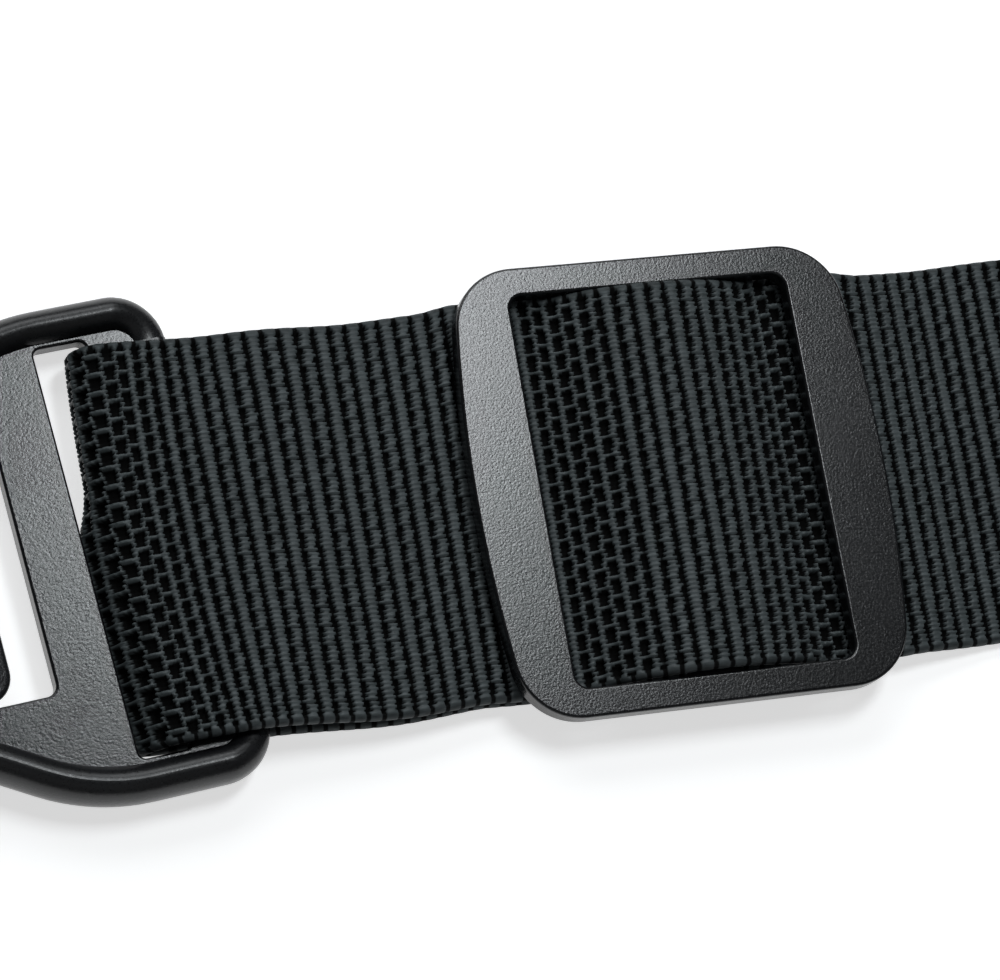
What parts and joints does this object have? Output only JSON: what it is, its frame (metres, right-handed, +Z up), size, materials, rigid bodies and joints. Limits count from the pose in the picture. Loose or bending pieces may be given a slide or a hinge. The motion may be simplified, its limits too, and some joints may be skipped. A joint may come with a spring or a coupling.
{
  "type": "dive weight belt",
  "caption": "Black nylon webbing weight belt with a quick-release cam buckle and a three-bar keeper, its spare length rolled up.",
  "frame": {"origin": "on the underside of the free run of webbing, on the belt's centre line, between the keeper and the roll", "axes": "+X along the belt from the buckle to the roll, +Y across it, +Z up from the surface it lies on"},
  "size_m": [0.3071, 0.0686, 0.062],
  "materials": {
    "buckle_plastic": "satin rails and finely grained plate",
    "lever_plastic": "fine grain",
    "keeper_plastic": "fine pebbled grain",
    "pin_steel": "ground",
    "webbing": "ribbed nylon weave"
  },
  "bodies": {
    "belt": {"webbing_upper_run": "webbing", "webbing_tail_run": "webbing", "webbing_free_run": "webbing", "webbing_roll": "webbing"},
    "buckle": {"buckle_frame": "buckle_plastic", "hinge_pin": "pin_steel", "webbing_fold": "webbing"},
    "lever": {"cam_lever": "lever_plastic"},
    "keeper": {"keeper": "keeper_plastic", "webbing_over_keeper_bar": "webbing"}
  },
  "joints": [
    {"name": "buckle_swing", "type": "hinge", "parent": "belt", "child": "buckle", "pos_m": [-0.1148, 0, 0.002], "axis": [0, 1, 0], "range_deg": [0, 90], "deforming": ["webbing_upper_run", "webbing_tail_run"]},
    {"name": "lever_hinge", "type": "hinge", "parent": "buckle", "child": "lever", "pos_m": [-0.19802, -0.00535, 0.011], "axis": [0.0872, -0.9962, 0], "range_deg": [0, 120]},
    {"name": "keeper_slide", "type": "slide", "parent": "belt", "child": "keeper", "axis": [1, 0, 0], "range_m": [-0.012, 0.012], "deforming": ["webbing_upper_run", "webbing_free_run"]}
  ]
}
